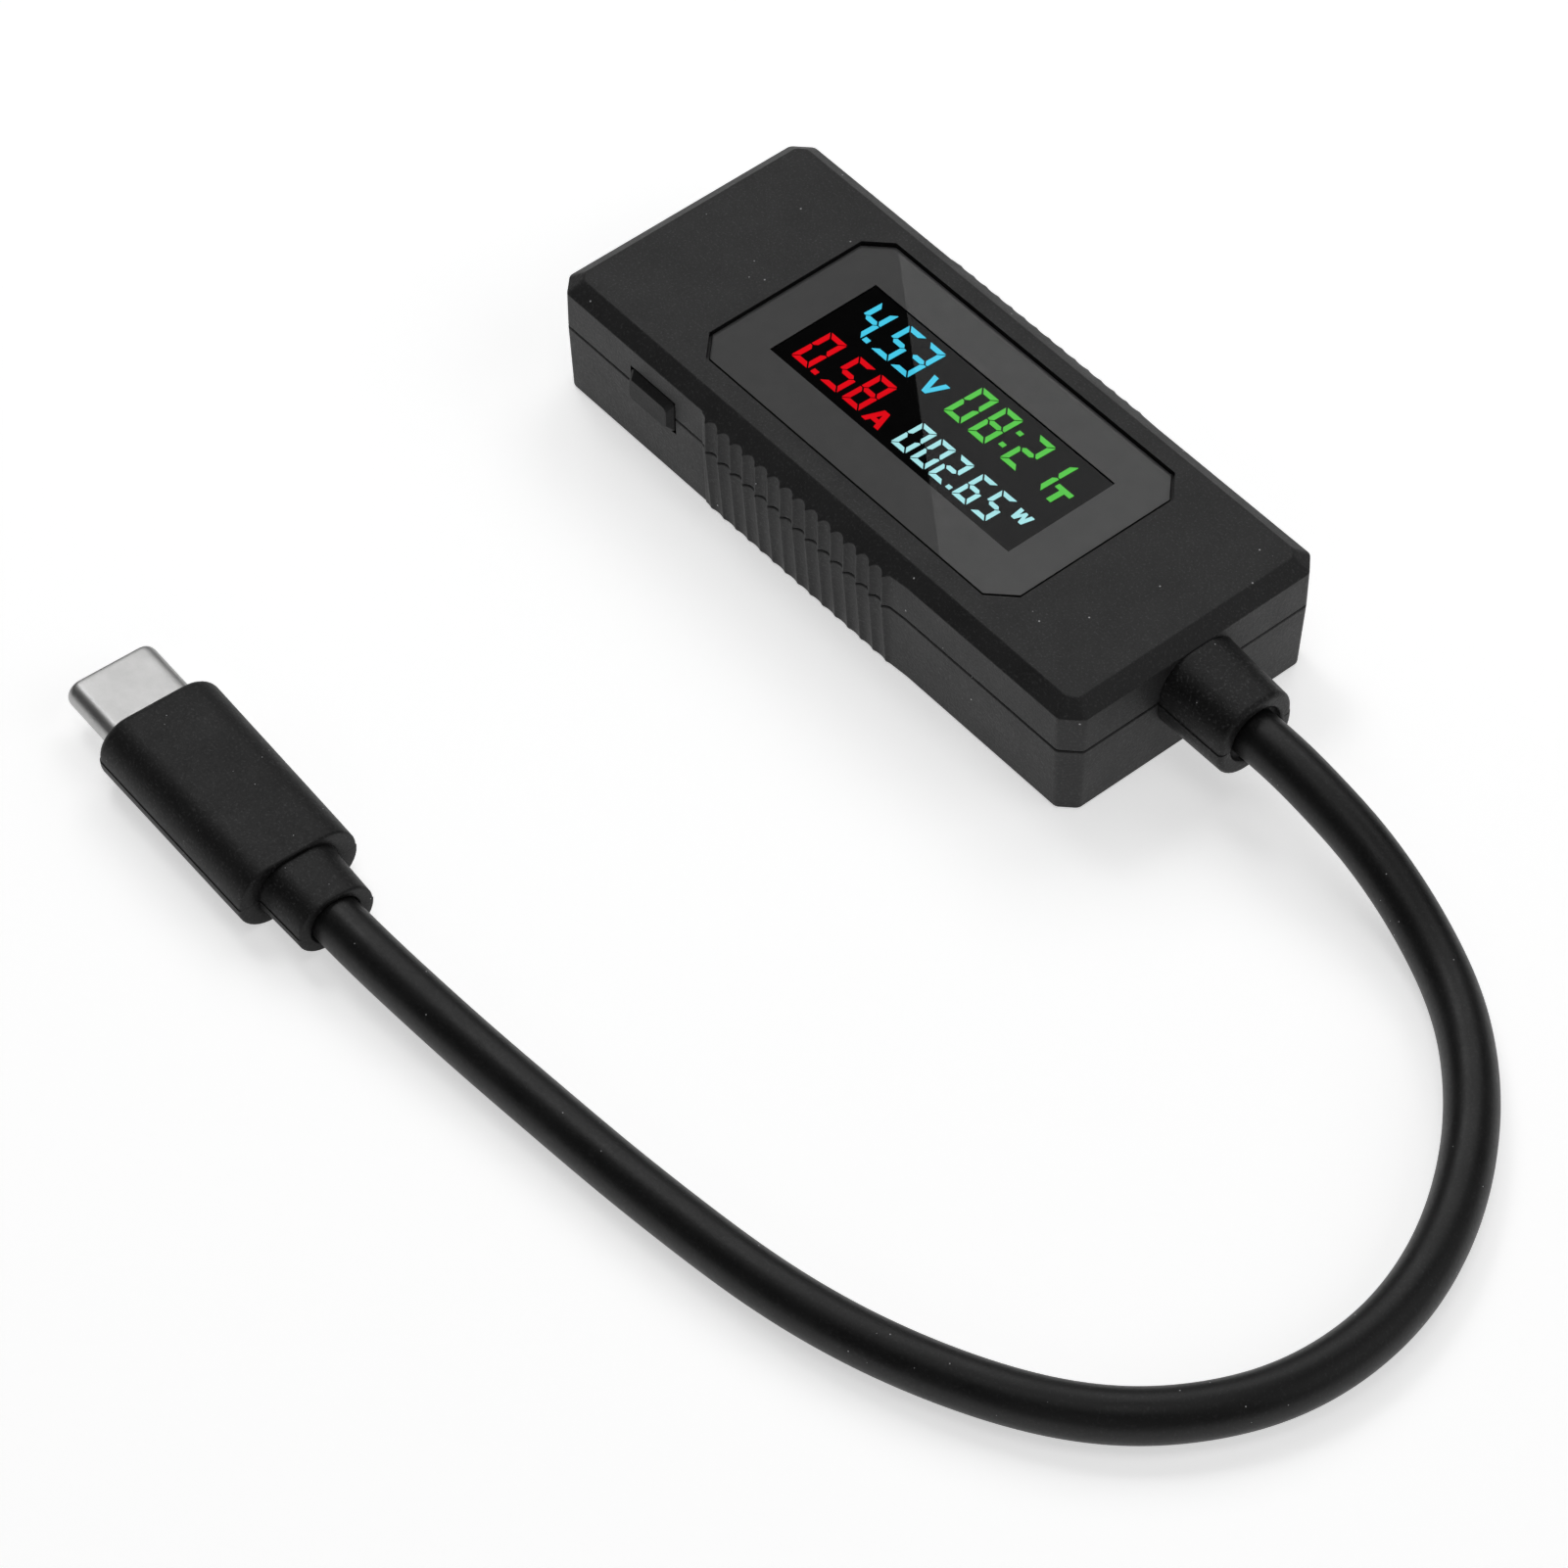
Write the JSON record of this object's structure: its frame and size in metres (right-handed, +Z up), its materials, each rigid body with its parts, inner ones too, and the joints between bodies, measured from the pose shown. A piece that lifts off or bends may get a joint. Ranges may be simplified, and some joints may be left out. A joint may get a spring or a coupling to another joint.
{
  "type": "usb power meter",
  "caption": "Handheld inline USB-C power meter: ribbed snap-fit case with a flush display window, a side button, a socket in one end and a short captive lead with a plug.",
  "frame": {"origin": "centre of the case's bottom face, on the surface it rests on", "axes": "+X along the case towards the lead, +Z up through the display, -Y towards the side button"},
  "size_m": [0.1168, 0.0828, 0.0121],
  "materials": {
    "housing_plastic": "fine-textured matte black ABS",
    "window_clear": "glossy clear acrylic with a smoked tint",
    "window_paint": "black paint seen through the clear window",
    "black_tape": "double-sided black tape",
    "button_plastic": "matte black moulded plastic",
    "boot_rubber": "matte grained black moulding",
    "cord_jacket": "satin black PVC jacket",
    "grip_rubber": "matte grained black moulding",
    "nickel": "satin nickel plate",
    "black_nylon": "moulded black nylon",
    "gold_plate": "gold-plated contacts",
    "spring_steel": "plain spring steel",
    "tin_plate": "tin plate",
    "board_green": "green solder mask",
    "cream_plastic": "cream moulded plastic",
    "chip_epoxy": "black chip epoxy",
    "capacitor_body": "tan ceramic",
    "resistor_body": "black resistor glaze",
    "ribbon_film": "amber film ribbon",
    "white_plastic": "white moulded plastic",
    "guide_acrylic": "clear light guide over white film",
    "led_body": "white diode package",
    "display_glass": "display glass",
    "display_black": "dark display ground",
    "lit_blue": "lit sky-blue figures",
    "lit_red": "lit red figures",
    "lit_green": "lit green figures",
    "lit_cyan": "lit pale cyan figures",
    "wire_red": "red wire insulation",
    "wire_black": "black wire insulation",
    "wire_white": "white wire insulation",
    "wire_green": "green wire insulation",
    "solder": "solder"
  },
  "bodies": {
    "housing": {"lower_shell": "housing_plastic", "upper_shell": "housing_plastic", "display_window": "window_clear", "window_mask": "window_paint", "window_tape": "black_tape", "cable_boot": "boot_rubber", "cord": "cord_jacket", "plug_grip": "grip_rubber", "plug_strain_relief": "grip_rubber", "plug_shell": "nickel", "plug_insulator": "black_nylon", "plug_contacts": "gold_plate", "plug_latch_springs": "spring_steel", "plug_shield_can": "tin_plate", "plug_board": "board_green", "plug_wires": "wire_red", "circuit_board": "board_green", "socket_shell": "nickel", "socket_tongue": "black_nylon", "socket_contacts": "gold_plate", "socket_back": "black_nylon", "switch_body": "black_nylon", "switch_cover": "tin_plate", "microcontroller": "chip_epoxy", "microcontroller_leads": "tin_plate", "memory_chip": "chip_epoxy", "voltage_regulator": "chip_epoxy", "shunt_resistor": "chip_epoxy", "bulk_capacitor": "capacitor_body", "crystal_can": "tin_plate", "ceramic_capacitors": "capacitor_body", "chip_resistors": "resistor_body", "ribbon_connector": "cream_plastic", "display_ribbon": "ribbon_film", "display_frame": "white_plastic", "light_guide": "guide_acrylic", "backlight_leds": "led_body", "rear_glass": "display_glass", "front_glass": "display_glass", "display_face": "display_black", "voltage_digits": "lit_blue", "current_digits": "lit_red", "time_digits": "lit_green", "power_digits": "lit_cyan", "red_wire": "wire_red", "black_wire": "wire_black", "white_wire": "wire_white", "green_wire": "wire_green", "solder_joints": "solder"},
    "button": {"side_button": "button_plastic"},
    "plunger": {"switch_plunger": "cream_plastic"}
  },
  "joints": [
    {"name": "button_press", "type": "slide", "parent": "housing", "child": "button", "axis": [0, 1, 0], "range_m": [0, 0.0003], "stiffness_N_per_m": 4000},
    {"name": "plunger_travel", "type": "slide", "parent": "housing", "child": "plunger", "axis": [0, 1, 0], "range_m": [0, 0.0003]}
  ],
  "couplings": [
    {"joint": "plunger_travel", "follows": "button_press", "ratio": 1}
  ]
}
